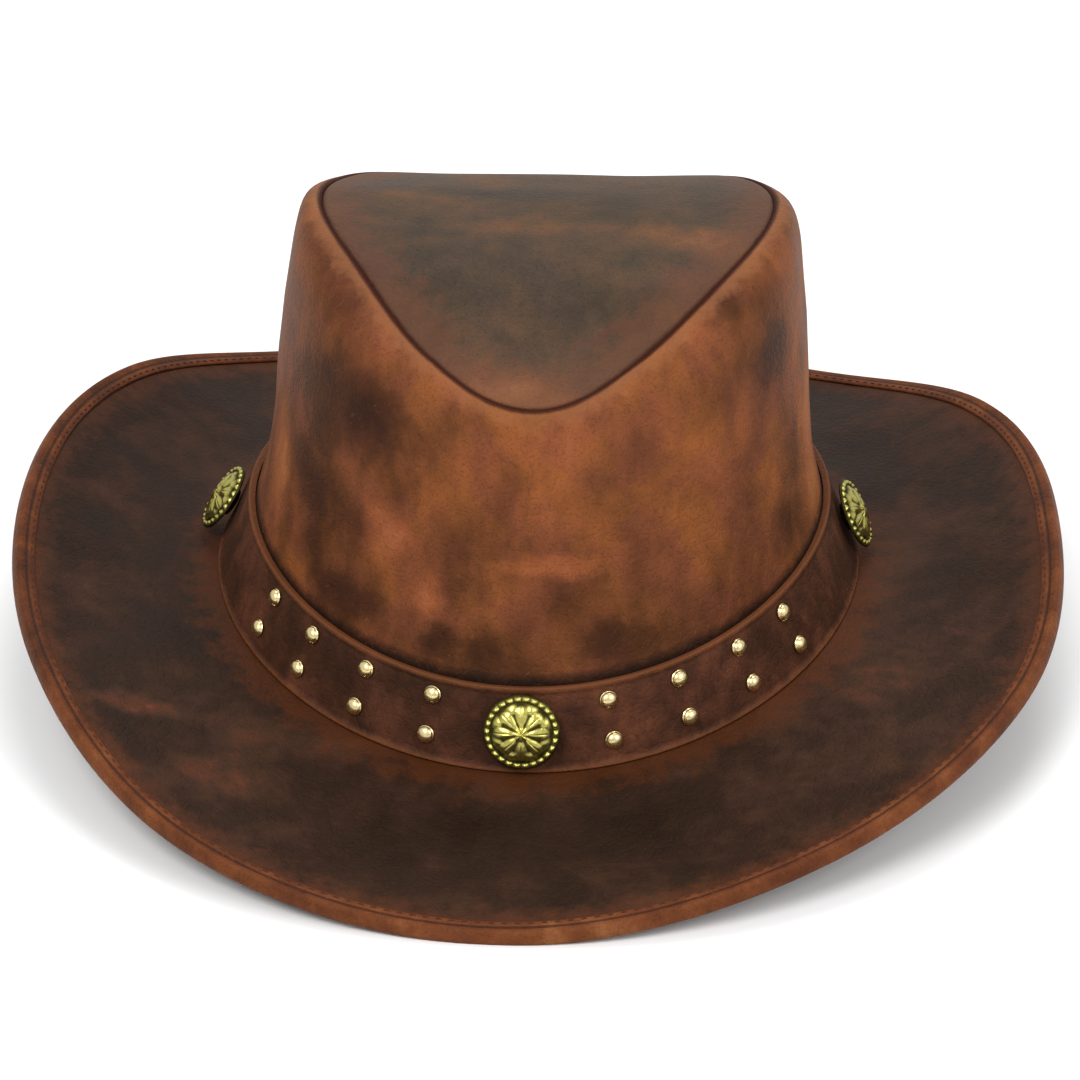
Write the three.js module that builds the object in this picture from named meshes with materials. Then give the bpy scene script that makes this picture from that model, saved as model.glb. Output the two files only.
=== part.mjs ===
// A leather western hat: a crown wall sewn round a sloping top, a brim curled up at the sides with a
// bound edge, and a studded band with three conchos.
// Millimetres, +Z up, the front of the hat towards -Y. The brim's front and back rest on z = 0.
import * as THREE from "three";

// Driving dimensions
const HEAD_HALF_WIDTH = 88;
const HEAD_HALF_LENGTH = 103;
const CROWN_HEIGHT = 139;
const CROWN_TAPER = 25;
const CROWN_LEAN = 2;
const BRIM_REACH = 78;
const BRIM_LIFT = 43;
const BAND_WIDTH = 25;
const BAND_TOP_FRONT = 34.6;
const BAND_TOP_SIDE = 45.4;
const BAND_TILT_FRONT = 15.5;
const BAND_TILT_SIDE = 24;
const BAND_INSET = 0.5;
const LEATHER = 1.8;
const BINDING_LEATHER = 1.1;
const BINDING_UNDERSIDE = 1.6;
const BINDING_WIDTH = 5;
const COLLAR_HEIGHT = 9;
const SHOULDER_LENGTH = 15;
const WALL_WAIST = 1.3;
const TOP_DIP = 0.8;
const CONCHO_DIAMETER = 22;
const CONCHO_HEIGHT = 6.5;
const STUD_DIAMETER = 5.2;
const GAP = 0.3;

// Facets: sections round the hat, an even number, and strips across the crown's top.
const SECTIONS = 60;
const TOP_STRIPS = 6;
const BRIM_STEPS = 7;
const SHOULDER_STEPS = 3;

// The crown all the way round, from the front, 0 degrees, by the right, 90, and the back, 180.
// Insets are shares of the taper, heights shares of the crown's height. The seam joins wall and top,
// and the corner is where the wall would meet the top if its shoulder weren't rounded.
const CROWN_ROWS = [
  { angle: 0, seamInset: 0.81, seamHeight: 0.809, cornerInset: 0.73, cornerHeight: 0.779 },
  { angle: 30, seamInset: 1.13, seamHeight: 0.856, cornerInset: 0.8, cornerHeight: 0.848 },
  { angle: 60, seamInset: 0.98, seamHeight: 0.985, cornerInset: 0.6, cornerHeight: 0.982 },
  { angle: 90, seamInset: 0.86, seamHeight: 0.994, cornerInset: 0.605, cornerHeight: 1.008 },
  { angle: 120, seamInset: 0.73, seamHeight: 0.925, cornerInset: 0.43, cornerHeight: 0.9 },
  { angle: 150, seamInset: 0.48, seamHeight: 0.81, cornerInset: 0.36, cornerHeight: 0.8 },
  { angle: 180, seamInset: 0.45, seamHeight: 0.7, cornerInset: 0.36, cornerHeight: 0.675 },
  { angle: 210, seamInset: 0.48, seamHeight: 0.8, cornerInset: 0.36, cornerHeight: 0.79 },
  { angle: 240, seamInset: 0.655, seamHeight: 0.91, cornerInset: 0.41, cornerHeight: 0.903 },
  { angle: 270, seamInset: 0.86, seamHeight: 0.99, cornerInset: 0.6, cornerHeight: 1.014 },
  { angle: 300, seamInset: 1.04, seamHeight: 0.984, cornerInset: 0.64, cornerHeight: 0.983 },
  { angle: 330, seamInset: 1.035, seamHeight: 0.869, cornerInset: 0.77, cornerHeight: 0.857 },
];

// The middle of the brim's edge all the way round: how far out as a share of the reach, how high as
// a share of the lift, and the slope in degrees with which the brim leaves the crown.
const BRIM_ROWS = [
  { angle: 0, reach: 0.987, lift: 0.049, slope: -11 },
  { angle: 30, reach: 0.993, lift: 0.335, slope: -8 },
  { angle: 60, reach: 0.985, lift: 0.698, slope: -4 },
  { angle: 90, reach: 0.875, lift: 0.94, slope: -2 },
  { angle: 120, reach: 0.925, lift: 0.763, slope: -4 },
  { angle: 150, reach: 0.993, lift: 0.195, slope: -9 },
  { angle: 180, reach: 0.987, lift: 0.049, slope: -11 },
  { angle: 210, reach: 0.995, lift: 0.258, slope: -9 },
  { angle: 240, reach: 0.915, lift: 0.865, slope: -4 },
  { angle: 270, reach: 0.875, lift: 1.0, slope: -2 },
  { angle: 300, reach: 0.943, lift: 0.7, slope: -4 },
  { angle: 330, reach: 1.015, lift: 0.265, slope: -8 },
];

// Studs sit in upright pairs on both sides of the front concho.
const STUD_ANGLES = [16.5, 30.5, 44, 56.5];
const STUD_ROWS = [
  { name: "upper", down: 0.22, spread: 0.98 },
  { name: "lower", down: 0.7, spread: 1.01 },
];

// Each concho is held by one screw, so the two at the sides have slumped: they lean back, so that
// their faces tip up, and they have turned towards the front, both in degrees.
const CONCHOS = [
  { name: "concho_front", angle: 0.5, down: 0.48, lean: 0, turn: 0 },
  { name: "concho_right", angle: 92.5, down: 0.5, lean: 3, turn: -8 },
  { name: "concho_left", angle: -93, down: 0.58, lean: 13, turn: 9 },
];

// Reads a column at any angle, on a smooth closed curve through rows that are evenly spaced.
function around(rows, column, angle) {
  const step = 360 / rows.length;
  const place = THREE.MathUtils.euclideanModulo(angle, 360) / step;
  const first = Math.floor(place);
  const t = place - first;
  const [a, b, c, d] = [-1, 0, 1, 2].map((k) => rows[(first + k + rows.length) % rows.length][column]);
  return b + 0.5 * t * (c - a + t * (2 * a - 5 * b + 4 * c - d + t * (3 * (b - c) + d - a)));
}

// From the value at the front and back to the value at the sides.
function frontToSide(front, side, angle) {
  return front + (side - front) * Math.sin(THREE.MathUtils.degToRad(angle)) ** 2;
}

// Every outline is drawn in upright planes square to the head's oval: x is the distance out from the
// oval and y the height. This places such a point in space.
function placed(angle, point) {
  const turn = THREE.MathUtils.degToRad(angle);
  const out = new THREE.Vector2(
    HEAD_HALF_LENGTH * Math.sin(turn),
    -HEAD_HALF_WIDTH * Math.cos(turn),
  ).normalize();
  const rise = (point.y - BAND_TOP_FRONT) / (CROWN_HEIGHT - BAND_TOP_FRONT);
  return new THREE.Vector3(
    HEAD_HALF_WIDTH * Math.sin(turn) + out.x * point.x + CROWN_LEAN * Math.max(rise, 0),
    -HEAD_HALF_LENGTH * Math.cos(turn) + out.y * point.x,
    point.y,
  );
}

function outline(x, y) {
  return new THREE.Vector2(x, y);
}

function heading(degrees) {
  const turn = THREE.MathUtils.degToRad(degrees);
  return outline(Math.cos(turn), Math.sin(turn));
}

function moved(point, direction, length) {
  return point.clone().addScaledVector(direction, length);
}

// Where the line through a along u crosses the line through b along v.
function crossing(a, u, b, v) {
  const between = b.clone().sub(a);
  return moved(a, u, between.cross(v) / u.cross(v));
}

// Turns a direction a quarter to its left.
function leftOf(direction) {
  return outline(-direction.y, direction.x);
}

// Moves a line of points to its left by a thickness, with mitred corners.
function offsetLine(points, thickness) {
  return points.map((point, k) => {
    const before = points[Math.max(k - 1, 0)];
    const after = points[Math.min(k + 1, points.length - 1)];
    const arriving = (k > 0 ? point.clone().sub(before) : after.clone().sub(point)).normalize();
    const leaving = (k < points.length - 1 ? after.clone().sub(point) : arriving.clone()).normalize();
    const mitre = leftOf(arriving).add(leftOf(leaving)).normalize();
    return moved(point, mitre, thickness / mitre.dot(leftOf(leaving)));
  });
}

// The band's strip, seen in section: its outer top edge, the way down it and the way in through it.
function bandLine(angle) {
  const tilt = frontToSide(BAND_TILT_FRONT, BAND_TILT_SIDE, angle);
  const down = heading(tilt - 90);
  const top = outline(-BAND_INSET, frontToSide(BAND_TOP_FRONT, BAND_TOP_SIDE, angle));
  return { top, down, inward: leftOf(down).negate(), bottom: moved(top, down, BAND_WIDTH) };
}

function bandSection(angle) {
  const { top, down, inward, bottom } = bandLine(angle);
  const floor = heading(around(BRIM_ROWS, "slope", angle));
  const innerTop = moved(top, inward, LEATHER);
  return [bottom, top, innerTop, crossing(bottom, floor, innerTop, down)];
}

// The fold where the brim's upper face turns up into its collar behind the band.
function brimFold(angle) {
  const { down, inward, bottom } = bandLine(angle);
  const floor = heading(around(BRIM_ROWS, "slope", angle));
  return crossing(moved(bottom, leftOf(floor), -GAP), floor, moved(bottom, inward, LEATHER + GAP), down);
}

// The brim's upper face from the fold to its edge, a curve that leaves the fold at the root slope.
function brimCurve(angle) {
  const fold = brimFold(angle);
  const reach = BRIM_REACH * around(BRIM_ROWS, "reach", angle) - GAP - BINDING_LEATHER;
  const edge = outline(reach, BRIM_LIFT * around(BRIM_ROWS, "lift", angle) + LEATHER / 2);
  const slope = heading(around(BRIM_ROWS, "slope", angle));
  const middle = moved(fold, slope, (edge.x - fold.x) / 2 / slope.x);
  return new THREE.QuadraticBezierCurve(fold, middle, edge);
}

function brimSection(angle) {
  const collarTop = moved(brimFold(angle), bandLine(angle).down, -COLLAR_HEIGHT);
  const upper = [...brimCurve(angle).getPoints(BRIM_STEPS).reverse(), collarTop];
  return [...upper, ...offsetLine(upper, LEATHER).reverse()];
}

// A folded strip that wraps the brim's edge, flattened where it would sink below the ground.
function bindingSection(angle) {
  const [edge, before] = brimCurve(angle).getPoints(BRIM_STEPS).reverse();
  const out = edge.clone().sub(before).normalize();
  const up = leftOf(out);
  const at = (x, y) => {
    const point = moved(moved(edge, out, x), up, y);
    return outline(point.x, Math.max(point.y, 0));
  };
  const far = GAP + BINDING_LEATHER;
  const lip = GAP - BINDING_WIDTH;
  const underside = -LEATHER - GAP - BINDING_UNDERSIDE;
  return [
    at(lip, underside), at(far, underside), at(far, far), at(lip, far),
    at(lip, GAP), at(GAP, GAP), at(GAP, -LEATHER - GAP), at(lip, -LEATHER - GAP),
  ];
}

function seamPoint(angle) {
  const inset = CROWN_TAPER * around(CROWN_ROWS, "seamInset", angle);
  return outline(-inset, CROWN_HEIGHT * around(CROWN_ROWS, "seamHeight", angle));
}

// The way the crown's top leaves its seam in section. The top is straight from left to right, so it
// climbs inward as its seam climbs from front to back.
function topDirection(angle) {
  const step = 360 / SECTIONS;
  const fromFront = THREE.MathUtils.euclideanModulo(angle + 180, 360) - 180;
  const side = fromFront < 0 ? -1 : 1;
  const frontAngle = side * Math.max(Math.abs(fromFront) - step, 0);
  const backAngle = side * Math.min(Math.abs(fromFront) + step, 180);
  const front = placed(frontAngle, seamPoint(frontAngle));
  const back = placed(backAngle, seamPoint(backAngle));
  const climb = (back.z - front.z) / (back.y - front.y);
  const inwardY = placed(angle, outline(0, 0)).sub(placed(angle, outline(1, 0))).y;
  return outline(-1, climb * inwardY).normalize();
}

function wallLine(angle) {
  const { top, down, inward } = bandLine(angle);
  const fold = brimFold(angle);
  const behindCollar = moved(fold, inward, LEATHER + GAP);
  const foot = moved(behindCollar, down, LEATHER);
  const collarTop = moved(behindCollar, down, -COLLAR_HEIGHT);
  const bandTop = moved(top, inward, LEATHER + GAP);
  const corner = outline(
    -CROWN_TAPER * around(CROWN_ROWS, "cornerInset", angle),
    CROWN_HEIGHT * around(CROWN_ROWS, "cornerHeight", angle),
  );
  const toBand = bandTop.clone().sub(corner).normalize();
  const shoulderFoot = moved(corner, toBand, SHOULDER_LENGTH);
  const shoulder = new THREE.QuadraticBezierCurve(shoulderFoot, corner, seamPoint(angle));
  const waist = moved(bandTop.clone().lerp(shoulderFoot, 0.5), leftOf(toBand), -WALL_WAIST);
  return [foot, collarTop, bandTop, waist, ...shoulder.getPoints(SHOULDER_STEPS)];
}

// The outer and inner corner of the seam, with the way in along the top and the way up the wall.
function seam(angle) {
  const line = wallLine(angle);
  const inward = topDirection(angle);
  const outer = line[line.length - 1];
  const upward = outer.clone().sub(line[line.length - 2]).normalize();
  const inner = offsetLine([...line, moved(outer, inward, LEATHER)], LEATHER)[line.length - 1];
  return { outer, inner, inward, upward };
}

function wallSection(angle) {
  const { outer, inner, inward, upward } = seam(angle);
  const line = wallLine(angle);
  const inside = offsetLine([...line, moved(outer, inward, LEATHER)], LEATHER).slice(0, line.length);
  line[line.length - 1] = moved(outer, upward, -GAP / 2);
  inside[line.length - 1] = moved(inner, upward, -GAP / 2);
  return [...line, ...inside.reverse()];
}

// Two triangles, or one where two corners are the same point.
function quad(a, b, c, d) {
  const triangles = [[a, b, c], [a, c, d]];
  return triangles.filter(([p, q, r]) => !p.equals(q) && !q.equals(r) && !r.equals(p)).flat();
}

function geometryOf(corners) {
  const geometry = new THREE.BufferGeometry().setFromPoints(corners);
  geometry.computeVertexNormals();
  return geometry;
}

// A closed ring from a section that runs anticlockwise, with outward to its right.
function ring(section) {
  const corners = [];
  const loops = Array.from({ length: SECTIONS }, (_, k) => {
    const angle = (360 / SECTIONS) * k;
    return section(angle).map((point) => placed(angle, point));
  });
  loops.forEach((here, k) => {
    const next = loops[(k + 1) % SECTIONS];
    here.forEach((point, j) => {
      const above = (j + 1) % here.length;
      corners.push(...quad(point, next[j], next[above], here[above]));
    });
  });
  return geometryOf(corners);
}

// The crown's top: rows straight across from seam to seam, each with a shallow dip.
function crownTop() {
  const widest = 2 * (HEAD_HALF_WIDTH - CROWN_TAPER / 2);
  const edge = (corner, angle) => {
    const { inward, [corner]: point } = seam(angle);
    return placed(angle, moved(point, inward, GAP / 2));
  };
  const face = (corner) => Array.from({ length: SECTIONS / 2 + 1 }, (_, row) => {
    const angle = (360 / SECTIONS) * row;
    const left = edge(corner, -angle);
    const right = edge(corner, angle);
    return Array.from({ length: TOP_STRIPS + 1 }, (_, strip) => {
      const across = strip / TOP_STRIPS;
      const dip = TOP_DIP * 4 * across * (1 - across) * left.distanceTo(right) / widest;
      const point = left.clone().lerp(right, across);
      point.z -= dip;
      return point;
    });
  });
  const rim = (rows) => {
    const right = rows.map((row) => row[TOP_STRIPS]);
    const left = rows.slice(1, -1).reverse().map((row) => row[0]);
    return [...right, ...left];
  };
  const upper = face("outer");
  const lower = face("inner");
  for (const rows of [upper, lower]) {
    for (const row of [rows[0], rows[rows.length - 1]]) {
      row.fill(row[0]);
    }
  }
  const corners = [];
  for (let row = 0; row < upper.length - 1; row++) {
    for (let strip = 0; strip < TOP_STRIPS; strip++) {
      const square = (rows) => [
        rows[row][strip], rows[row][strip + 1], rows[row + 1][strip + 1], rows[row + 1][strip],
      ];
      corners.push(...quad(...square(upper)), ...quad(...square(lower).reverse()));
    }
  }
  const upperRim = rim(upper);
  const lowerRim = rim(lower);
  upperRim.forEach((point, k) => {
    const next = (k + 1) % upperRim.length;
    corners.push(...quad(lowerRim[k], lowerRim[next], upperRim[next], point));
  });
  return geometryOf(corners);
}

// A turned metal piece whose back is on z = 0, from a profile of radius and height shares.
function turned(profile, diameter, height, sides) {
  const points = profile.map(([radius, rise]) => outline(radius * diameter / 2, rise * height));
  return new THREE.LatheGeometry(points, sides).rotateX(Math.PI / 2);
}

// The concho stands off the band on a short post.
const POST_SHARE = 0.4;
const CONCHO_PROFILE = [
  [0, 0], [POST_SHARE, 0], [POST_SHARE, 0.36], [0.92, 0.42], [1, 0.52], [0.94, 0.66], [0.82, 0.62], [0.62, 0.82],
  [0.32, 0.96], [0, 1],
];
const STUD_PROFILE = [[0, 0], [1, 0], [0.9, 0.45], [0.55, 0.85], [0, 1]];
const STUD_HEIGHT = 2;

// Sets a piece on the band, at a share of the band's width down from its top. A piece that leans or
// turns is lifted until the edge of its foot clears the band.
function setOnBand(mesh, angle, down, lean = 0, turn = 0, footRadius = 0) {
  const line = bandLine(angle);
  const out = line.inward.clone().negate();
  const upright = new THREE.Vector3(0, 0, 1);
  const lift = GAP + footRadius * Math.sin(THREE.MathUtils.degToRad(Math.hypot(lean, turn)));
  const back = moved(moved(line.top, line.down, BAND_WIDTH * down), out, lift);
  mesh.position.copy(placed(angle, back));
  const leaned = out.clone().rotateAround(outline(0, 0), THREE.MathUtils.degToRad(lean));
  const facing = placed(angle, moved(back, leaned, 1)).sub(mesh.position).normalize();
  facing.applyAxisAngle(upright, THREE.MathUtils.degToRad(turn));
  mesh.quaternion.setFromUnitVectors(upright, facing);
  return mesh;
}

function leather(color, roughness) {
  return new THREE.MeshStandardMaterial({ color, roughness, metalness: 0 });
}

function metal(color, roughness) {
  return new THREE.MeshStandardMaterial({ color, roughness, metalness: 1 });
}

const rustLeather = leather(0x86502f, 0.6);
const darkTopLeather = leather(0x5c4a3c, 0.6);
const brimLeather = leather(0x463630, 0.65);
const bindingLeather = leather(0x6e3c28, 0.6);
const bandLeather = leather(0x4a2c20, 0.55);
const antiqueBrass = metal(0x9a9445, 0.35);
const paleBrass = metal(0xdcc896, 0.3);

function named(name, geometry, material) {
  const mesh = new THREE.Mesh(geometry, material);
  mesh.name = name;
  return mesh;
}

const hat = new THREE.Group();
hat.add(named("crown_wall", ring(wallSection), rustLeather));
hat.add(named("crown_top", crownTop(), darkTopLeather));
hat.add(named("brim", ring(brimSection), brimLeather));
hat.add(named("brim_binding", ring(bindingSection), bindingLeather));
hat.add(named("hat_band", ring(bandSection), bandLeather));

for (const { name, angle, down, lean, turn } of CONCHOS) {
  const geometry = turned(CONCHO_PROFILE, CONCHO_DIAMETER, CONCHO_HEIGHT, 20);
  const concho = named(name, geometry, antiqueBrass);
  hat.add(setOnBand(concho, angle, down, lean, turn, POST_SHARE * CONCHO_DIAMETER / 2));
}

for (const side of [{ name: "right", sign: 1 }, { name: "left", sign: -1 }]) {
  STUD_ANGLES.forEach((angle, k) => {
    for (const row of STUD_ROWS) {
      const stud = turned(STUD_PROFILE, STUD_DIAMETER, STUD_HEIGHT, 8);
      const name = `stud_${side.name}_${row.name}_${k + 1}`;
      const turn = side.sign * angle * row.spread;
      hat.add(setOnBand(named(name, stud, paleBrass), turn, row.down));
    }
  });
}

export default hat;
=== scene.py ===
# %% [markdown]
# # A leather western hat
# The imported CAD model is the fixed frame: it says where everything is and how large. It is made of
# flat facets, so this lesson rebuilds each soft piece of leather and each metal ornament as a fine
# mesh in the same place, and then gives it a finish. Loading the frame comes first, always.

# %% Load the frame
import math

import bmesh
import bpy
import numpy as np
from mathutils import Matrix, Vector, noise


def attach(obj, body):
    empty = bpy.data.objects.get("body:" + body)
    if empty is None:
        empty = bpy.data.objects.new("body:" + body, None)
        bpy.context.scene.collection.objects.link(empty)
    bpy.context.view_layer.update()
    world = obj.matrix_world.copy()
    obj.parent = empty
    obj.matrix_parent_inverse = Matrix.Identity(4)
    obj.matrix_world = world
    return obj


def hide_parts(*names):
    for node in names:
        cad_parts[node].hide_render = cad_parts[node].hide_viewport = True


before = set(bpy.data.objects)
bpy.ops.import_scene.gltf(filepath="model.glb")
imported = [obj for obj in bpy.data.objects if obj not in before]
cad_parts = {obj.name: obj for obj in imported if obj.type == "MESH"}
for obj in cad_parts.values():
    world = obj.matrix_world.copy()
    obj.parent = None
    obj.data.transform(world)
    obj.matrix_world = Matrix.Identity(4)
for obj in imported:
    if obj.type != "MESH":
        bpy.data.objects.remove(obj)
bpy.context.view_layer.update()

MM = 0.001

# %% [markdown]
# ## The camera
# The hat was photographed from the front, a little from above, with a long lens. A long lens far away
# keeps the far side of the brim nearly as large as the near side. The camera is made first, because
# every later choice is judged through it. It looks at a point inside the hat from a set distance.

# %% Camera
CAMERA_AZIMUTH = 2.88
CAMERA_ELEVATION = 28.95
CAMERA_ROLL = 0.25
CAMERA_DISTANCE = 1.2
CAMERA_TARGET = Vector((0.33, 0, 25.69)) * MM
CAMERA_LENS = 130.68
CAMERA_SENSOR = 36


def aim_camera():
    turn, rise, roll = (math.radians(a) for a in (CAMERA_AZIMUTH, CAMERA_ELEVATION, CAMERA_ROLL))
    back = Vector((math.sin(turn) * math.cos(rise), -math.cos(turn) * math.cos(rise), math.sin(rise)))
    right = Vector((math.cos(turn), math.sin(turn), 0))
    up = back.cross(right)
    axes = Matrix((
        math.cos(roll) * right + math.sin(roll) * up,
        math.cos(roll) * up - math.sin(roll) * right,
        back,
    )).transposed()
    lens = bpy.data.cameras.new("camera")
    lens.lens = CAMERA_LENS
    lens.sensor_width = CAMERA_SENSOR
    camera = bpy.data.objects.new("camera", lens)
    place = CAMERA_TARGET + back * CAMERA_DISTANCE
    camera.matrix_world = Matrix.LocRotScale(place, axes.to_quaternion(), None)
    bpy.context.scene.collection.objects.link(camera)
    bpy.context.scene.camera = camera
    return camera


print("camera at", tuple(round(v, 3) for v in aim_camera().location))

# %% [markdown]
# ## The sizes of the hat
# A hat is made on a wooden block shaped like a head, so everything on it follows one oval. The
# tables give the hat all the way round that oval, in degrees from the front by the right to the back.
# Each row holds shares of the named lengths, so a maker can change one length and keep the shape. A
# program first fitted most of these shares to the photo. They were then rounded, and some of them
# were changed.

# %% Sizes and tables
HEAD_HALF_WIDTH = 88
HEAD_HALF_LENGTH = 103
CROWN_HEIGHT = 139
CROWN_TAPER = 25
CROWN_LEAN = 2
BRIM_REACH = 78
BRIM_LIFT = 43
BAND_WIDTH = 25
BAND_TOP_FRONT = 34.6
BAND_TOP_SIDE = 45.4
BAND_TILT_FRONT = 15.5
BAND_TILT_SIDE = 24
BAND_INSET = 0.5
LEATHER = 1.8
GAP = 0.3


def table(columns, *rows):
    return [dict(zip(columns.split(), row)) for row in rows]


CROWN_ROWS = table(
    "angle seam_inset seam_height corner_inset corner_height",
    (0, 0.81, 0.809, 0.73, 0.779),
    (30, 1.13, 0.856, 0.8, 0.848),
    (60, 0.98, 0.985, 0.6, 0.982),
    (90, 0.86, 0.994, 0.605, 1.008),
    (120, 0.73, 0.925, 0.43, 0.9),
    (150, 0.48, 0.81, 0.36, 0.8),
    (180, 0.45, 0.7, 0.36, 0.675),
    (210, 0.48, 0.8, 0.36, 0.79),
    (240, 0.655, 0.91, 0.41, 0.903),
    (270, 0.86, 0.99, 0.6, 1.014),
    (300, 1.04, 0.984, 0.64, 0.983),
    (330, 1.035, 0.869, 0.77, 0.857),
)
BRIM_ROWS = table(
    "angle reach lift slope",
    (0, 0.987, 0.049, -11),
    (30, 0.993, 0.335, -8),
    (60, 0.985, 0.698, -4),
    (90, 0.875, 0.94, -2),
    (120, 0.925, 0.763, -4),
    (150, 0.993, 0.195, -9),
    (180, 0.987, 0.049, -11),
    (210, 0.995, 0.258, -9),
    (240, 0.915, 0.865, -4),
    (270, 0.875, 1.0, -2),
    (300, 0.943, 0.7, -4),
    (330, 1.015, 0.265, -8),
)
print(len(CROWN_ROWS), "rows for the crown and", len(BRIM_ROWS), "for the brim")

# %% [markdown]
# ## Drawing in section
# A hat maker thinks in sections: cut the hat square to the head's oval and look at the cut. A point
# of a section is kept here as one complex number, with the distance out from the oval as its real
# part and the height as its imaginary part. Turning a direction a quarter to its left is then a
# multiplication by 1j, which keeps the code short. `placed` brings a point back into space.

# %% Helpers for sections
def around(rows, column, angle):
    """Reads a column at any angle, on a smooth closed curve through evenly spaced rows."""
    place = angle % 360 / 360 * len(rows)
    first = int(place)
    t = place - first
    a, b, c, d = (rows[(first + k) % len(rows)][column] for k in (-1, 0, 1, 2))
    return b + 0.5 * t * (c - a + t * (2 * a - 5 * b + 4 * c - d + t * (3 * (b - c) + d - a)))


def front_to_side(front, side, angle):
    return front + (side - front) * math.sin(math.radians(angle)) ** 2


def heading(degrees):
    return complex(math.cos(math.radians(degrees)), math.sin(math.radians(degrees)))


def unit(direction):
    return direction / abs(direction)


def cross(a, b):
    return (a.conjugate() * b).imag


def crossing(a, u, b, v):
    """Where the line through a along u meets the line through b along v."""
    return a + u * cross(b - a, v) / cross(u, v)


def bezier(points, steps):
    """Points on a curve from the first point to the last, pulled towards those between."""
    curve = []
    for k in range(steps + 1):
        left = list(points)
        while len(left) > 1:
            left = [a + (b - a) * k / steps for a, b in zip(left, left[1:])]
        curve.append(left[0])
    return curve


def offset(points, thickness):
    """Moves a line of points to its left by a thickness, with mitred corners."""
    ways = [unit(b - a) for a, b in zip(points, points[1:])]
    moved = []
    for point, arriving, leaving in zip(points, ways[:1] + ways, ways + ways[-1:]):
        mitre = unit(1j * arriving + 1j * leaving)
        moved.append(point + mitre * thickness / (mitre.conjugate() * 1j * leaving).real)
    return moved


def placed(angle, point):
    """A point of the section at this angle, in space, in millimetres."""
    turn = math.radians(angle)
    out = Vector((HEAD_HALF_LENGTH * math.sin(turn), -HEAD_HALF_WIDTH * math.cos(turn))).normalized()
    rise = (point.imag - BAND_TOP_FRONT) / (CROWN_HEIGHT - BAND_TOP_FRONT)
    return Vector((
        HEAD_HALF_WIDTH * math.sin(turn) + out.x * point.real + CROWN_LEAN * max(rise, 0),
        -HEAD_HALF_LENGTH * math.cos(turn) + out.y * point.real,
        point.imag,
    ))


print("the front of the head's oval is at", tuple(placed(0, 0j)))

# %% [markdown]
# ## From sections to a mesh
# A lofted mesh joins the same point of each section to its neighbours with four-sided faces. Fine
# leather edges are never knife sharp, so `rounded` swaps a sharp corner for a short curve, and the
# smooth shading then looks soft. Each vertex also keeps a few numbers, such as its distance from the
# nearest edge, which the finishes read to know where hands and shelves have rubbed the leather, and
# where shade is painted along grooves and against the band.

# %% Helpers for meshes
COLUMNS = 360
ANGLES = [360 / COLUMNS * k for k in range(COLUMNS)]


def rounded(points, radii, steps=3, closed=True):
    """Swaps each corner for a curve that starts its radius away. A radius of 0 keeps the corner."""
    line = []
    for k, (point, radius) in enumerate(zip(points, radii)):
        before, after = points[k - 1], points[(k + 1) % len(points)]
        at_end = not closed and k in (0, len(points) - 1)
        if radius == 0 or at_end:
            line.append(point)
            continue
        start = point + unit(before - point) * min(radius, abs(before - point) * 0.49)
        end = point + unit(after - point) * min(radius, abs(after - point) * 0.49)
        line += bezier([start, point, end], steps)
    return line


def lengths(points):
    """How far along a line of points each of them is."""
    steps = [abs(b - a) for a, b in zip(points, points[1:])]
    return list(np.cumsum([0] + steps))


def loft(name, columns, numbers, closed=True):
    """A mesh through columns of points in space, all the way round. numbers holds lists like columns."""
    count, height = len(columns), len(columns[0])
    here = np.arange(count)[:, None] * height + np.arange(height if closed else height - 1)
    beside = (here + height) % (count * height)
    step = (np.arange(here.shape[1]) + 1) % height - np.arange(here.shape[1])
    faces = np.stack([here, beside, beside + step, here + step], axis=-1).reshape(-1, 4)
    mesh = bpy.data.meshes.new(name)
    mesh.from_pydata([tuple(p * MM) for column in columns for p in column], [], faces.tolist())
    for label, values in numbers.items():
        attribute = mesh.attributes.new(label, "FLOAT", "POINT")
        attribute.data.foreach_set("value", np.array(values, np.float32).ravel())
    return mesh


def swept(name, section_at, label):
    """A mesh through the sections at all angles. Each section comes with a number for every point."""
    columns, numbers = [], []
    for angle in ANGLES:
        section, values = section_at(angle)
        columns.append([placed(angle, point) for point in section])
        numbers.append(values)
    return loft(name, columns, {label: numbers})


def mended(mesh, mend):
    """Runs one editing step on a mesh."""
    edited = bmesh.new()
    edited.from_mesh(mesh)
    mend(edited)
    edited.to_mesh(mesh)
    edited.free()
    return mesh


def piece(name, mesh, nodes, place=Matrix()):
    """Shows a mesh as a piece that rides with the hat and stands for these CAD nodes."""
    mesh.shade_smooth()
    thing = bpy.data.objects.new(name, mesh)
    thing.matrix_world = place
    bpy.context.scene.collection.objects.link(thing)
    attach(thing, "root")
    if nodes:
        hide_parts(*nodes)
    print(name, "has", sum(len(p.vertices) - 2 for p in mesh.polygons), "triangles")
    return thing


# %% [markdown]
# ## The band's line
# The band sets the foot of everything else: the brim's fold and the crown's wall lie against it. It
# leans outward as it goes down, more at the sides than at the front, like the foot of a bell.

# %% Where the band, the fold and the wall meet
def band_line(angle):
    """The band's outer top edge, the way down it, the way in through it, and its bottom edge."""
    down = heading(front_to_side(BAND_TILT_FRONT, BAND_TILT_SIDE, angle) - 90)
    top = complex(-BAND_INSET, front_to_side(BAND_TOP_FRONT, BAND_TOP_SIDE, angle))
    return top, down, -1j * down, top + down * BAND_WIDTH


def root_slope(angle):
    return heading(around(BRIM_ROWS, "slope", angle))


def brim_fold(angle):
    """Where the brim's upper face turns up into its collar behind the band."""
    _, down, inward, bottom = band_line(angle)
    floor = root_slope(angle)
    return crossing(bottom - 1j * floor * GAP, floor, bottom + inward * (LEATHER + GAP), down)


print("the fold at the front is at", brim_fold(0))

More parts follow.
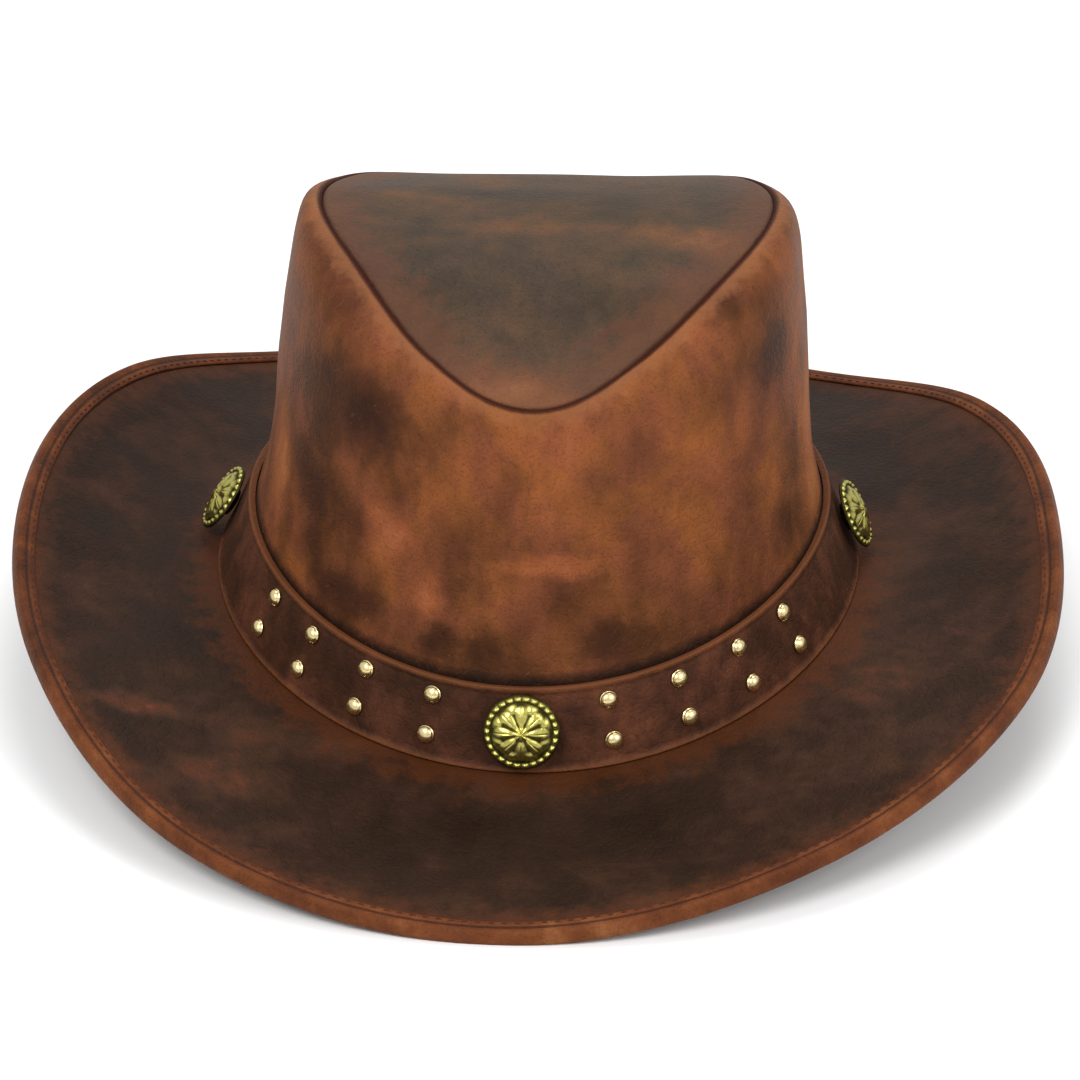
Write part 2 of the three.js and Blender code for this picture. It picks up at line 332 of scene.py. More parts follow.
# %% [markdown]
# ## Soft dents
# Leather that was wetted and shaped by hand is never quite even. A slow random swell, the same for
# both faces of the sheet, moves the surface by well under a millimetre. It fades to nothing where
# one piece meets another, so nothing opens up or cuts in.

# %% A helper for uneven leather
def swell(position, waves):
    """A smooth random height. Each wave is its height and the distance over which it changes."""
    return sum(height * noise.noise(position / size) for height, size in waves)


def fade(distance, width):
    """0 at an edge, rising smoothly to 1 at this distance from it."""
    t = min(max(distance / width, 0), 1)
    return t * t * (3 - 2 * t)


# %% [markdown]
# ## The crown's wall
# The wall is one sheet sewn into a tube. It rises from behind the band, draws in slightly at its
# waist and rolls over a soft shoulder to the seam. At the seam the sheet turns inward, so its edge
# is a small round roll with a groove beside it, and the groove is what shows as a dark line.

# %% Crown wall: its line
COLLAR_HEIGHT = 9
COLLAR_STEPS = 3
SHOULDER_LENGTH = 15
SHOULDER_STEPS = 12
WALL_WAIST = 1.3
WALL_STEPS = 22
CLIMB_ANGLE = 6


def seam_point(angle):
    inset = CROWN_TAPER * around(CROWN_ROWS, "seam_inset", angle)
    return complex(-inset, CROWN_HEIGHT * around(CROWN_ROWS, "seam_height", angle))


def wall_line(angle):
    """The wall's outer face from its foot behind the brim's collar to the seam."""
    top, down, inward, _ = band_line(angle)
    behind_collar = brim_fold(angle) + inward * (LEATHER + GAP)
    band_top = top + inward * (LEATHER + GAP)
    corner = complex(
        -CROWN_TAPER * around(CROWN_ROWS, "corner_inset", angle),
        CROWN_HEIGHT * around(CROWN_ROWS, "corner_height", angle),
    )
    shoulder_foot = corner + unit(band_top - corner) * SHOULDER_LENGTH
    rise = shoulder_foot - band_top
    # A control point counts 3/8 half way along such a curve, so this draws the middle in by the waist.
    waist = band_top + rise / 3 + 1j * unit(rise) * WALL_WAIST * 8 / 3
    return [
        behind_collar + down * LEATHER,
        *bezier([behind_collar - down * COLLAR_HEIGHT, band_top], COLLAR_STEPS),
        *bezier([band_top, waist, band_top + rise * 2 / 3, shoulder_foot], WALL_STEPS)[1:],
        *bezier([shoulder_foot, corner, seam_point(angle)], SHOULDER_STEPS)[1:],
    ]


def top_direction(angle):
    """The way the crown's top leaves its seam, in section. The top is straight from left to right."""
    from_front = (angle + 180) % 360 - 180
    side = -1 if from_front < 0 else 1
    front, back = (
        placed(side * a, seam_point(side * a))
        for a in (max(abs(from_front) - CLIMB_ANGLE, 0), min(abs(from_front) + CLIMB_ANGLE, 180))
    )
    climb = (back.z - front.z) / (back.y - front.y)
    return unit(complex(-1, climb * (placed(angle, 0j) - placed(angle, 1 + 0j)).y))


print("the seam at the front is at", seam_point(0))

# %% [markdown]
# That line is only the outer face. The leather's thickness is laid inside it, the end at the seam is
# rounded into the roll, and the whole cut is then swept round the hat. The uneven swell stays away
# from the seam and the band.

# %% Crown wall: its leather
SEAM_ROLL = 1.3
WALL_WAVES = ((0.9, 38), (0.25, 13))
SEAM_CALM = 14
BAND_CALM = 12


def wall_section(angle):
    """The wall's cut, and how far each of its points is from the seam."""
    line = wall_line(angle)
    beyond = line[-1] + top_direction(angle) * LEATHER
    inside = offset([*line, beyond], LEATHER)[: len(line)]
    upward = unit(line[-1] - line[-2])
    line[-1] -= upward * GAP / 2
    inside[-1] -= upward * GAP / 2
    section = [*line, *reversed(inside)]
    radii = [0] * (len(line) - 1) + [SEAM_ROLL, 0] + [0] * (len(line) - 1)
    along = lengths(section)
    seam_at = along[len(line) - 1]
    rolled = rounded(section, radii, 5)
    turn = [abs(a - seam_at) for a in lengths(rolled)]
    return rolled, turn


def build_wall():
    columns, to_seam, to_band = [], [], []
    for angle in ANGLES:
        section, distances = wall_section(angle)
        out = placed(angle, 1 + 0j) - placed(angle, 0j)
        band_top = band_line(angle)[0].imag
        column = []
        for point, distance in zip(section, distances):
            spot = placed(angle, point)
            still = fade(distance, SEAM_CALM) * fade(point.imag - band_top, BAND_CALM)
            column.append(spot + out * swell(spot, WALL_WAVES) * still)
        columns.append(column)
        to_seam.append(distances)
        to_band.append([abs(point.imag - band_top) for point in section])
    return loft("crown_wall_leather", columns, {"to_edge": to_seam, "to_band": to_band})


wall = piece("crown_wall_leather", build_wall(), ["crown_wall"])

# %% [markdown]
# ## The crown's top
# The top panel is sewn in, high at both sides and low at the front and back, with a shallow dip
# across. It could be a grid, but a grid meets the curved seam badly. Rings that shrink from the seam
# to the middle follow the seam exactly, so its edge can roll down into the groove all the way round.

# %% Crown top
TOP_DIP = 0.8
TOP_WAVES = ((0.7, 34),)
TOP_CALM = 16
TOP_ROLL = 1.2
TOP_MIDDLE = Vector((CROWN_LEAN, 0))
RING_DEPTHS = [0, 0.25, 0.6, 1.1, 1.8, 2.8, 4.2, 6, 8.5]
INNER_RINGS = 26
SEAM_SAMPLES = 241


def rim(angle):
    """The top panel's upper and lower edge beside the seam, in space."""
    line = wall_line(angle)
    inward = top_direction(angle)
    lower = offset([*line[-2:], line[-1] + inward * LEATHER], LEATHER)[1]
    return placed(angle, line[-1] + inward * GAP / 2), placed(angle, lower + inward * GAP / 2)


def seam_heights():
    """The seam's x and z for each y, on the right and on the left."""
    sides = []
    for side in (1, -1):
        points = [rim(side * a)[0] for a in np.linspace(0, 180, SEAM_SAMPLES)]
        sides.append(np.array(points).T)
    return sides


def top_height(x, y, sides):
    """Height of the top at a point in plan, on a straight row from seam to seam with a shallow dip."""
    (right_x, right_z), (left_x, left_z) = (
        [float(np.interp(y, side[1], side[k])) for k in (0, 2)] for side in sides
    )
    width = max(right_x - left_x, 1e-6)
    t = min(max((x - left_x) / width, 0), 1)
    widest = 2 * (HEAD_HALF_WIDTH - CROWN_TAPER / 2)
    return left_z + (right_z - left_z) * t - TOP_DIP * 4 * t * (1 - t) * width / widest


def build_top():
    sides = seam_heights()
    columns, to_seam = [], []
    for angle in ANGLES:
        upper, lower = rim(angle)
        spoke = TOP_MIDDLE - upper.xy
        reach = spoke.length
        rings = RING_DEPTHS + list(np.linspace(RING_DEPTHS[-1], reach, INNER_RINGS + 1))[1:]
        top, under = [], []
        for depth in rings:
            at = upper.xy + spoke * (depth / reach)
            z = top_height(at.x, at.y, sides)
            roll = TOP_ROLL * max(1 - depth / (2 * TOP_ROLL), 0) ** 2
            bulge = swell(Vector((at.x, at.y, 0)), TOP_WAVES) * fade(depth, TOP_CALM)
            top.append(Vector((at.x, at.y, z - roll + bulge)))
            under.append(Vector((at.x, at.y, z - (upper.z - lower.z) + bulge)))
        under[0] = lower
        columns.append([*reversed(under), *top])
        to_seam.append([*reversed(rings), *rings])
    return loft("crown_top_leather", columns, {"to_edge": to_seam}, closed=False)


def merge_poles(edited):
    """Joins the vertices that fall on one spot in the middle of the panel."""
    bmesh.ops.remove_doubles(edited, verts=edited.verts, dist=1e-6)


top_mesh = mended(build_top(), merge_poles)
top_panel = piece("crown_top_leather", top_mesh, ["crown_top"])

# %% [markdown]
# ## The brim
# The brim is one flat sheet cut as a ring. Steam and hands curl its sides up, and where it meets the
# head it folds up into a short collar that the band hides.

# %% Brim
BINDING_LEATHER = 1.1
BRIM_STEPS = 44
BRIM_WAVES = ((0.7, 36), (0.3, 12))
BRIM_CALM = 14
FOLD_ROUNDING = 2.5


def brim_curve(angle):
    """The brim's upper face from the fold to the edge."""
    fold = brim_fold(angle)
    slope = root_slope(angle)
    reach = BRIM_REACH * around(BRIM_ROWS, "reach", angle) - GAP - BINDING_LEATHER
    edge = complex(reach, BRIM_LIFT * around(BRIM_ROWS, "lift", angle) + LEATHER / 2)
    return bezier([fold, fold + slope * (edge - fold).real / 2 / slope.real, edge], BRIM_STEPS)


def build_brim():
    columns, to_edge, to_band = [], [], []
    for angle in ANGLES:
        curve = brim_curve(angle)
        collar_top = curve[0] - band_line(angle)[1] * COLLAR_HEIGHT
        upper = [*reversed(curve), collar_top]
        radii = [0] * BRIM_STEPS + [FOLD_ROUNDING, 0]
        upper = rounded(upper, radii, 5, closed=False)
        section = [*upper, *reversed(offset(upper, LEATHER))]
        edge, fold = curve[-1], curve[0]
        column = []
        for point in section:
            spot = placed(angle, point)
            still = fade(edge.real - point.real, BRIM_CALM) * fade(point.real - fold.real, BRIM_CALM)
            column.append(spot + Vector((0, 0, swell(spot, BRIM_WAVES) * still)))
        columns.append(column)
        to_edge.append([abs(edge - point) for point in section])
        to_band.append([abs(fold - point) for point in section])
    return loft("brim_leather", columns, {"to_edge": to_edge, "to_band": to_band})


brim = piece("brim_leather", build_brim(), ["brim"])

# %% [markdown]
# ## The bound edge
# A narrow strip wraps the brim's edge. Pulled tight, it makes a round bead on the outside, then a
# crease, then a thin skived lip that is sewn down. The bead catches the light, the crease stays dark.

# %% Brim binding
BINDING_UNDERSIDE = 1.6
BINDING_WIDTH = 5
CREASE = complex(-1.7, 0.85)
STITCH_LINE = complex(-3.4, 1.2)


def edge_frame(angle):
    """The brim's upper edge in section, with the way out and the way up there."""
    before, edge = brim_curve(angle)[-2:]
    return edge, unit(edge - before)


def binding_section(angle):
    """The binding's cut, set on the brim's edge, and how far each of its points is from the crease."""
    edge, out = edge_frame(angle)
    far = GAP + BINDING_LEATHER
    low = -LEATHER - GAP - BINDING_UNDERSIDE
    lip = GAP - BINDING_WIDTH
    # Each corner is a point, out and up from the edge, and the radius of its rounding.
    corners = [
        (complex(lip, low + 0.7), 0.4),
        (complex(-2, low + 0.15), 1.2),
        (complex(far - 0.4, low), 1.4),
        (complex(far, -LEATHER / 2), 1.2),
        (complex(far - 0.5, far + 0.1), 1.5),
        (CREASE, 0.6),
        (complex(-2.6, 1.25), 0.8),
        (complex(-4.3, 1.05), 0.8),
        (complex(lip, 0.55), 0.25),
        (complex(lip, GAP), 0.1),
        (complex(GAP, GAP), 0.1),
        (complex(GAP, -LEATHER - GAP), 0.1),
        (complex(lip, -LEATHER - GAP), 0.1),
    ]
    local = rounded([point for point, _ in corners], [radius for _, radius in corners], 3)
    points = [edge + out * p.real + 1j * out * p.imag for p in local]
    return [complex(p.real, max(p.imag, 0)) for p in points], [abs(p - CREASE) for p in local]


binding_mesh = swept("brim_binding_leather", binding_section, "to_crease")
binding = piece("brim_binding_leather", binding_mesh, ["brim_binding"])

# %% [markdown]
# ## The hat band
# A flat strap, 25 mm wide, goes round the foot of the crown. Its long edges are turned and pressed,
# so they stand up as narrow ridges with a groove beside each, and they rub lighter than the middle.

# %% Hat band
RIDGE_WIDTH = 2.2
RIDGE_HEIGHT = 0.35


def band_section(angle):
    """The band's cut with its ridges, and how far each of its points is from the nearer long edge."""
    top, down, inward, bottom = band_line(angle)
    inner_top = top + inward * LEATHER
    inner_bottom = crossing(bottom, root_slope(angle), inner_top, down)
    face = []
    for share, raised in ((0, 1), (0.5, 1), (1, -0.4), (1.5, 0)):
        face.append((share * RIDGE_WIDTH, raised * RIDGE_HEIGHT))
    rows = face + [(BAND_WIDTH / 2, 0)] + [(BAND_WIDTH - d, h) for d, h in reversed(face)]
    outer = [top + down * d - inward * h for d, h in rows]
    section = [*reversed(outer), inner_top, inner_bottom]
    radii = [0.5, 0.8, 0.8, 1, 5, 1, 0.8, 0.8, 0.5, 0.3, 0.3]
    line = rounded(section, radii, 4)
    distance = [min(abs(((p - top) / down).real), abs(((p - bottom) / down).real)) for p in line]
    return line, distance


band_mesh = swept("hat_band_leather", band_section, "to_edge")
band = piece("hat_band_leather", band_mesh, ["hat_band"])

# %% [markdown]
# ## The welt, coloured as the groove's shade
# A welt of thin leather lies in the groove between wall and top, and hides the gap there. Its
# near-black colour is painted shade in the groove. It is a slim tube along the seam, because nothing
# but its rounded back ever shows.

# %% Welt, coloured as groove shade
SHADE_WELT_RADIUS = 0.55
SHADE_WELT_DEPTH = 0.75
SHADE_WELT_SIDES = 8


def build_shade_welt():
    columns = []
    for angle in ANGLES:
        line = wall_line(angle)
        middle = line[-1] + 1j * unit(top_direction(angle) + unit(line[-1] - line[-2])) * SHADE_WELT_DEPTH
        ring = [middle + SHADE_WELT_RADIUS * heading(360 / SHADE_WELT_SIDES * k) for k in range(SHADE_WELT_SIDES)]
        columns.append([placed(angle, point) for point in ring])
    return loft("crown_seam_shade_welt", columns, {})


shade_welt = piece("crown_seam_shade_welt", build_shade_welt(), [])

# %% [markdown]
# ## Stitches
# The binding is sewn down with short stitches: each is a small bead of thread whose ends dip into the
# leather. Stitches are spaced by length along the edge, not by angle, or they would bunch up. Those
# that the hat stands on are pressed flat.

# %% Stitches
STITCH_PITCH = 3.6
STITCH_LENGTH = 2.7
STITCH_RADIUS = 0.3
STITCH_DIP = 0.35
THREAD_SIDES = 6


def evenly(line_at, pitch):
    """Angles at which points of a closed line are this far apart."""
    angles = np.linspace(0, 360, 4 * COLUMNS + 1)
    points = np.array([line_at(a) for a in angles])
    along = np.concatenate([[0], np.cumsum(np.linalg.norm(np.diff(points, axis=0), axis=1))])
    count = round(along[-1] / pitch)
    return [float(np.interp(along[-1] * k / count, along, angles)) for k in range(count)]


def build_stitches(name, line_at, upward):
    """A ring of stitches. line_at gives a point for an angle, and upward the way out of the leather."""
    vertices, faces = [], []
    ends = [-1, -0.8, -0.3, 0.3, 0.8, 1]
    for angle in evenly(line_at, STITCH_PITCH):
        along = (line_at(angle + 0.2) - line_at(angle - 0.2)).normalized()
        up = upward(angle)
        side = along.cross(up)
        first = len(vertices)
        for t in ends:
            thick = STITCH_RADIUS * math.sqrt(max(1 - t * t, 0.05))
            middle = line_at(angle) + along * t * STITCH_LENGTH / 2 - up * STITCH_DIP * t * t
            for k in range(THREAD_SIDES):
                turn = heading(360 / THREAD_SIDES * k)
                spot = middle + side * turn.real * thick + up * turn.imag * thick
                vertices.append(Vector((spot.x, spot.y, max(spot.z, 0))) * MM)
        last = len(vertices) - THREAD_SIDES
        for row in range(first, last, THREAD_SIDES):
            for k in range(THREAD_SIDES):
                a, b = row + k, row + (k + 1) % THREAD_SIDES
                faces.append((a, b, b + THREAD_SIDES, a + THREAD_SIDES))
        faces.append([first + k for k in reversed(range(THREAD_SIDES))])
        faces.append([last + k for k in range(THREAD_SIDES)])
    mesh = bpy.data.meshes.new(name)
    mesh.from_pydata([tuple(v) for v in vertices], [], faces)
    return mesh


def on_binding(local):
    def line_at(angle):
        edge, out = edge_frame(angle)
        return placed(angle, edge + out * local.real + 1j * out * local.imag)
    return line_at


def out_of_binding(sign):
    def upward(angle):
        edge, out = edge_frame(angle)
        return (placed(angle, edge + 1j * out) - placed(angle, edge)).normalized() * sign
    return upward


UNDER_LINE = complex(STITCH_LINE.real, -LEATHER - GAP - BINDING_UNDERSIDE + STITCH_DIP)
threads = []
for name, line, sign in (("brim_stitches_upper", STITCH_LINE, 1), ("brim_stitches_under", UNDER_LINE, -1)):
    mesh = build_stitches(name, on_binding(line), out_of_binding(sign))
    threads.append(piece(name, mesh, []))

# %% [markdown]
# ## The metal
# The conchos are cast discs that stand off the band on a short post: a ring of beads round a rosette,
# which is a common pattern for them. The disc is drawn by its height over radius and angle, which
# suits a relief that repeats round its middle. The studs are small pressed domes.

# %% Conchos and studs: their shapes
CONCHO_DIAMETER = 22
CONCHO_HEIGHT = 6.5
POST_SHARE = 0.4
CONCHO_STEPS = 208
BEADS = 26
PETALS = 8
STUD_DIAMETER = 5.2
STUD_HEIGHT = 2
STUD_STEPS = 32


def cap(edited):
    """Closes the open ends of a turned mesh."""
    bmesh.ops.holes_fill(edited, edges=[e for e in edited.edges if e.is_boundary])


def concho_relief(share, turn):
    """Height of the cast face above its dome, in millimetres, at a share of the radius."""
    bead_middle = 0.89
    bead = math.cos(turn * BEADS / 2) ** 2 * max(1 - ((share - bead_middle) / 0.065) ** 2, 0)
    lobe = abs(math.cos(turn * PETALS / 2)) ** 0.7
    length = 0.42 + 0.33 * lobe
    petal = max(1 - (share / length) ** 6, 0) * (0.35 + 0.65 * min(share / 0.45, 1)) * lobe
    vein = math.exp(-((math.sin(turn * PETALS / 2)) / 0.12) ** 2) * fade(share - 0.25, 0.1)
    leaf_length = 0.66
    leaf = abs(math.sin(turn * PETALS / 2)) ** 3 * max(1 - ((share - leaf_length) / 0.14) ** 2, 0)
    boss = max(1 - (share / 0.2) ** 2, 0)
    return 0.75 * bead ** 0.6 + 0.75 * petal * (1 - 0.35 * vein) + 0.5 * leaf + 0.6 * boss


def concho_dome(share):
    """The plain dome under the relief, as a share of the disc's height."""
    return float(np.interp(share, [0, 0.32, 0.62, 0.82, 0.94, 1], [0.86, 0.83, 0.72, 0.6, 0.56, 0.52]))


def build_concho():
    radius = CONCHO_DIAMETER / 2
    back = [
        (0.02, 0), (POST_SHARE, 0), (POST_SHARE, 0.33), (0.44, 0.37), (0.9, 0.4), (0.97, 0.43), (1, 0.48),
    ]
    shares = list(np.linspace(0.99, 0.8, 14)) + list(np.linspace(0.78, 0.02, 34))
    columns, relief = [], []
    for k in range(CONCHO_STEPS):
        turn = 2 * math.pi * k / CONCHO_STEPS
        column = [(share, height * CONCHO_HEIGHT, 0) for share, height in back]
        for share in shares:
            raised = concho_relief(share, turn)
            column.append((share, concho_dome(share) * CONCHO_HEIGHT + raised, raised))
        columns.append([
            Vector((share * radius * math.cos(turn), share * radius * math.sin(turn), z))
            for share, z, _ in column
        ])
        relief.append([raised for _, _, raised in column])
    return mended(loft("concho", columns, {"relief": relief}, closed=False), cap)


def build_stud():
    profile = [(0.03, 0), (1, 0), (1, 0.12), (0.97, 0.2), (0.9, 0.24)]
    profile += [(0.9 * math.cos(t), 0.24 + 0.76 * math.sin(t)) for t in np.linspace(0.15, 1.53, 9)]
    columns = []
    for k in range(STUD_STEPS):
        turn = heading(360 * k / STUD_STEPS) * STUD_DIAMETER / 2
        columns.append([Vector((r * turn.real, r * turn.imag, z * STUD_HEIGHT)) for r, z in profile])
    return mended(loft("stud", columns, {}, closed=False), cap)


concho_mesh = build_concho()
stud_mesh = build_stud()
print("a concho has", len(concho_mesh.polygons), "faces and a stud", len(stud_mesh.polygons))

# %% [markdown]
# Three conchos and sixteen studs go on the band, the studs in upright pairs. Each concho hangs on one
# screw, so those at the sides have slumped a little. Copies share one mesh, which saves memory.

# %% Conchos and studs: their places
CONCHO_PLACES = table(
    "node angle down lean turn",
    ("concho_front", 0.5, 0.48, 0, 0),
    ("concho_right", 92.5, 0.5, 3, -8),
    ("concho_left", -93, 0.58, 13, 9),
)
STUD_ANGLES = [16.5, 30.5, 44, 56.5]
STUD_ROWS = table("name down spread", ("upper", 0.22, 0.98), ("lower", 0.7, 1.01))


def on_band(angle, down, lean=0, turn=0, foot_radius=0):
    """The place and turn of an ornament on the band. One that leans is lifted until its foot clears."""
    top, way_down, inward, _ = band_line(angle)
    lift = GAP + foot_radius * math.sin(math.radians(math.hypot(lean, turn)))
    back = top + way_down * BAND_WIDTH * down - inward * lift
    origin = placed(angle, back)
    facing = (placed(angle, back - inward * heading(lean)) - origin).normalized()
    facing.rotate(Matrix.Rotation(math.radians(turn), 3, "Z"))
    side = (placed(angle, back - way_down) - origin).cross(facing).normalized()
    axes = Matrix((side, facing.cross(side), facing)).transposed()
    return Matrix.LocRotScale(origin * MM, axes.to_quaternion(), None)


for row in CONCHO_PLACES:
    foot_radius = POST_SHARE * CONCHO_DIAMETER / 2
    place = on_band(row["angle"], row["down"], row["lean"], row["turn"], foot_radius)
    piece(f"{row['node']}_cast", concho_mesh, [row["node"]], place)

for side, sign in (("right", 1), ("left", -1)):
    for row in STUD_ROWS:
        for k, angle in enumerate(STUD_ANGLES, 1):
            node = f"stud_{side}_{row['name']}_{k}"
            place = on_band(sign * angle * row["spread"], row["down"])
            piece(f"{node}_dome", stud_mesh, [node], place)

# %% [markdown]
# ## Building with nodes
# A finish is a network of small nodes. A few helpers keep the lessons short: they add a node and fill
# its inputs with numbers or with wires from other nodes, and they start a node group or put one to
# use. A group is a recipe that several finishes share, each with its own amounts.

# %% Helpers for nodes
def fill(tree, node, inputs):
    for key, value in inputs.items():
        if isinstance(value, bpy.types.NodeSocket):
            tree.links.new(value, node.inputs[key])
        else:
            node.inputs[key].default_value = value
    return node


def add(tree, kind, inputs, **settings):
    node = tree.nodes.new(kind)
    for key, value in settings.items():
        setattr(node, key, value)
    return fill(tree, node, inputs)


def calculate(tree, operation, *values):
    return add(tree, "ShaderNodeMath", dict(enumerate(values)), operation=operation).outputs[0]


def combine(tree, operation, *vectors):
    return add(tree, "ShaderNodeVectorMath", dict(enumerate(vectors)), operation=operation).outputs[0]


def mix(tree, amount, a, b, blend="MIX"):
    sockets = {"Factor": amount, 6: a, 7: b}
    return add(tree, "ShaderNodeMix", sockets, data_type="RGBA", blend_type=blend).outputs[2]


def spread(tree, value, low, high, new_low=0.0, new_high=1.0):
    """Maps low..high to new_low..new_high with soft ends."""
    sockets = {"Value": value, "From Min": low, "From Max": high, "To Min": new_low, "To Max": new_high}
    return add(tree, "ShaderNodeMapRange", sockets, interpolation_type="SMOOTHSTEP").outputs["Result"]


def new_group(name, inputs, outputs):
    """Starts a node group. An input with three numbers is a vector, and one number is a float."""
    tree = bpy.data.node_groups.new(name, "ShaderNodeTree")
    for label, value in inputs.items():
        kind = "NodeSocketVector" if isinstance(value, tuple) else "NodeSocketFloat"
        tree.interface.new_socket(name=label, in_out="INPUT", socket_type=kind).default_value = value
    for label in outputs:
        tree.interface.new_socket(name=label, in_out="OUTPUT", socket_type="NodeSocketFloat")
    return tree, tree.nodes.new("NodeGroupInput").outputs, tree.nodes.new("NodeGroupOutput").inputs


def use(tree, group, inputs):
    return add(tree, "ShaderNodeGroup", inputs, node_tree=group).outputs


def new_finish(name):
    """A new material, its network of nodes, and the shader that the network ends in."""
    material = bpy.data.materials.new(name)
    material.use_nodes = True
    return material, material.node_tree, material.node_tree.nodes["Principled BSDF"]


print("node helpers ready")

# %% [markdown]
# ## Random textures
# Leather has no pattern that repeats, so its textures are noise. They are read at the surface's place
# on the piece itself, in metres, so that their sizes are real and they stay with the leather when it
# moves.

# %% Helpers for textures
def object_place(tree):
    return tree.nodes.new("ShaderNodeTexCoord").outputs["Object"]


def random_texture(tree, place, size, detail, roughness=0.55, stretch=(1, 1, 1)):
    """Noise whose blots are about this size in metres, as a number and as a colour."""
    stretched = combine(tree, "MULTIPLY", place, stretch)
    density = calculate(tree, "DIVIDE", 1.0, size)
    sockets = {"Vector": stretched, "Scale": density, "Detail": detail, "Roughness": roughness}
    return add(tree, "ShaderNodeTexNoise", sockets).outputs


def bent_place(tree, size, amount, detail=2.0):
    """The surface's place, pushed about at random, so that no blot keeps a round outline."""
    place = object_place(tree)
    push = random_texture(tree, place, size, detail)["Color"]
    centred = combine(tree, "SUBTRACT", push, (0.5, 0.5, 0.5))
    scaled = add(tree, "ShaderNodeVectorMath", {0: centred, "Scale": amount}, operation="SCALE").outputs[0]
    return combine(tree, "ADD", place, scaled)


print("texture helpers ready")

# %% [markdown]
# ## Mottled wax
# This leather is soaked in dark wax and oil. Wherever it is bent or handled the wax moves, and the
# red-brown hide shows through, so its tone drifts in clouds within clouds. Two sizes of noise, both
# bent out of shape by a third, give one number from 0, dark with wax, to 1, pulled light.

# %% Group: mottled wax
def build_mottle():
    tree, given, result = new_group("mottled wax", {"Cloud Size": 0.03, "Smudge Size": 0.008}, ["Tone"])
    place = bent_place(tree, given["Cloud Size"], calculate(tree, "MULTIPLY", given["Cloud Size"], 0.4))
    clouds = random_texture(tree, place, given["Cloud Size"], 3.0, 0.5)[0]
    smudges = random_texture(tree, place, given["Smudge Size"], 3.0, 0.6, (1, 1, 0.6))[0]
    both = calculate(tree, "MULTIPLY_ADD", clouds, 0.66, calculate(tree, "MULTIPLY", smudges, 0.34))
    tree.links.new(spread(tree, both, 0.3, 0.7), result["Tone"])
    return tree


mottle_group = build_mottle()
print("inputs:", [socket.name for socket in mottle_group.interface.items_tree])

# %% [markdown]
# ## One soft patch
# Most of the large light and dark areas sit where the maker's hands bent the hide, so they are placed,
# not left to chance. On the wall, two narrow light ones are painted highlights along the crown's sides.
# A patch is an oval cloud: full in the middle, ragged at its border, 0 outside. The group is handed
# a place that is already bent, because bending it once serves every patch.

# %% Group: soft patch
def build_patch():
    inputs = {"Place": (0, 0, 0), "Centre": (0, 0, 0), "Radius": (0.02, 0.02, 0.02)}
    tree, given, result = new_group("soft patch", inputs, ["Mask"])
    place = combine(tree, "SUBTRACT", given["Place"], given["Centre"])
    place = combine(tree, "DIVIDE", place, given["Radius"])
    distance = add(tree, "ShaderNodeVectorMath", {0: place}, operation="LENGTH").outputs["Value"]
    tree.links.new(spread(tree, distance, 0.15, 1.25, 1.0, 0.0), result["Mask"])
    return tree


patch_group = build_patch()
print("inputs:", [socket.name for socket in patch_group.interface.items_tree])

# %% [markdown]
# ## Grain
# Up close the hide has fine pores, a net of shallow creases and, about every centimetre, a longer
# wrinkle. The group gives a height for a Bump node. It also gives the pores alone, which hold wax
# and look darker.

# %% Group: leather grain
def build_grain():
    inputs = {"Pore Size": 0.0007, "Crease Size": 0.003}
    tree, given, result = new_group("leather grain", inputs, ["Height", "Pores"])
    bend = calculate(tree, "MULTIPLY", given["Crease Size"], 0.7)
    place = bent_place(tree, given["Crease Size"], bend, 1.0)
    pores = random_texture(tree, place, given["Pore Size"], 3.0, 0.6)[0]
    sockets = {"Vector": place, "Scale": calculate(tree, "DIVIDE", 1.0, given["Crease Size"])}
    cells = add(tree, "ShaderNodeTexVoronoi", sockets, feature="DISTANCE_TO_EDGE")
    creases = spread(tree, cells.outputs["Distance"], 0.0, 0.16)
    wrinkle_size = calculate(tree, "MULTIPLY", given["Crease Size"], 3.0)
    wrinkles = random_texture(tree, place, wrinkle_size, 3.0, 0.6)[0]
    height = calculate(tree, "MULTIPLY_ADD", creases, 0.45, calculate(tree, "MULTIPLY", pores, 0.5))
    tree.links.new(calculate(tree, "MULTIPLY_ADD", wrinkles, 1.1, height), result["Height"])
    tree.links.new(spread(tree, pores, 0.34, 0.5, 1.0, 0.0), result["Pores"])
    return tree


grain_group = build_grain()
print("inputs:", [socket.name for socket in grain_group.interface.items_tree])

# %% [markdown]
# ## Scuffs
# Long shallow scratches from use. Noise that is squeezed in one direction turns into streaks, and
# only its highest crests are kept. Two directions cross, so that it doesn't look combed.

# %% Group: scuffs
def build_scuffs():
    tree, given, result = new_group("scuffs", {"Length": 0.012, "Amount": 0.5}, ["Mask"])
    place = bent_place(tree, 0.02, 0.006)
    limit = calculate(tree, "MULTIPLY_ADD", given["Amount"], -0.14, 0.72)
    masks = []
    for turn in ((0.5, 0.3, 0.9), (-0.6, 0.4, -0.5)):
        sockets = {"Vector": place, "Rotation": turn}
        turned = add(tree, "ShaderNodeVectorRotate", sockets, rotation_type="EULER_XYZ").outputs[0]
        streaks = random_texture(tree, turned, given["Length"], 3.0, 0.65, (1, 14, 14))[0]
        masks.append(spread(tree, streaks, limit, calculate(tree, "ADD", limit, 0.08)))
    tree.links.new(calculate(tree, "MAXIMUM", *masks), result["Mask"])
    return tree


scuff_group = build_scuffs()
print("inputs:", [socket.name for socket in scuff_group.interface.items_tree])
